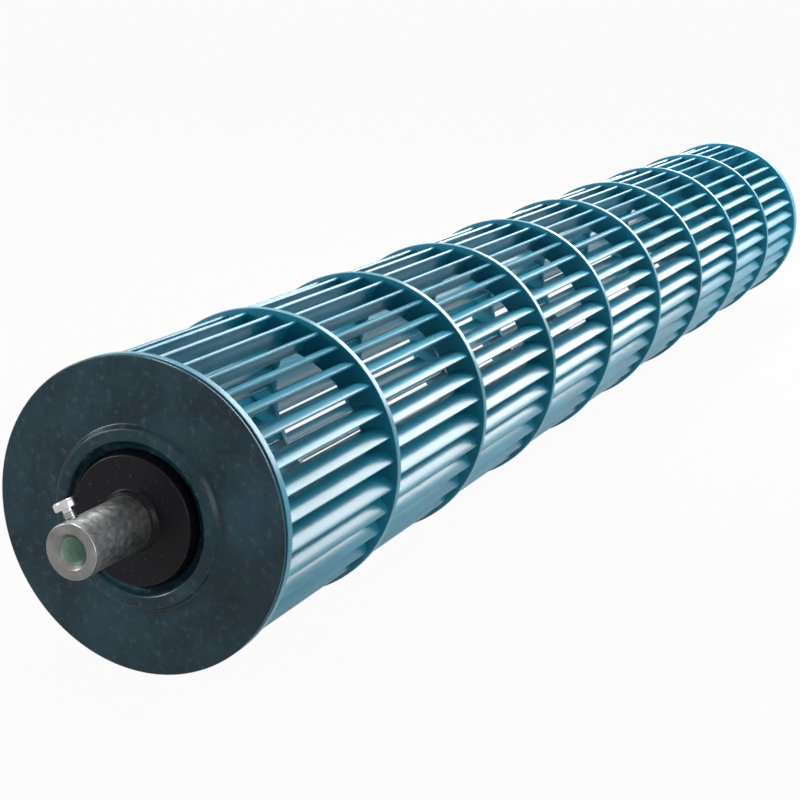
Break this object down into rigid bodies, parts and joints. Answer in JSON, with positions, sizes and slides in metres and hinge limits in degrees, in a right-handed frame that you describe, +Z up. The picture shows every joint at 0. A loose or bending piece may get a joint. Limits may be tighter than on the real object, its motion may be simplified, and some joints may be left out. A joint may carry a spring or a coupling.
{
  "type": "cross flow fan wheel",
  "caption": "Long cross flow fan drum of curved blades between rings, with flat end plates, a rubber-mounted steel hub with a clamp screw, and a stub shaft at the far end.",
  "frame": {"origin": "on the wheel's axis, in the front face of the motor-end plate, inside the hub sleeve's bore", "axes": "+Y along the wheel's axis from the motor end to the bearing end, +Z up"},
  "size_m": [0.098, 0.7322, 0.098],
  "materials": {
    "teal_plastic": "glossy, slightly see-through",
    "black_rubber": "matt",
    "plated_steel": "bright plated",
    "screw_steel": "bright plated",
    "ground_steel": "ground"
  },
  "bodies": {
    "wheel": {"front_end_plate": "teal_plastic", "rubber_damper": "black_rubber", "hub_sleeve": "plated_steel", "blade_section_1": "teal_plastic", "blade_section_2": "teal_plastic", "blade_section_3": "teal_plastic", "blade_section_4": "teal_plastic", "blade_section_5": "teal_plastic", "blade_section_6": "teal_plastic", "blade_section_7": "teal_plastic", "blade_section_8": "teal_plastic", "blade_section_9": "teal_plastic", "far_end_plate": "teal_plastic", "stub_shaft": "ground_steel"},
    "clamp_screw": {"clamp_screw": "screw_steel"}
  },
  "joints": [
    {"name": "clamp_screw_in", "type": "slide", "parent": "wheel", "child": "clamp_screw", "axis": [0.454, 0, -0.891], "range_m": [0, 0.0029]}
  ]
}
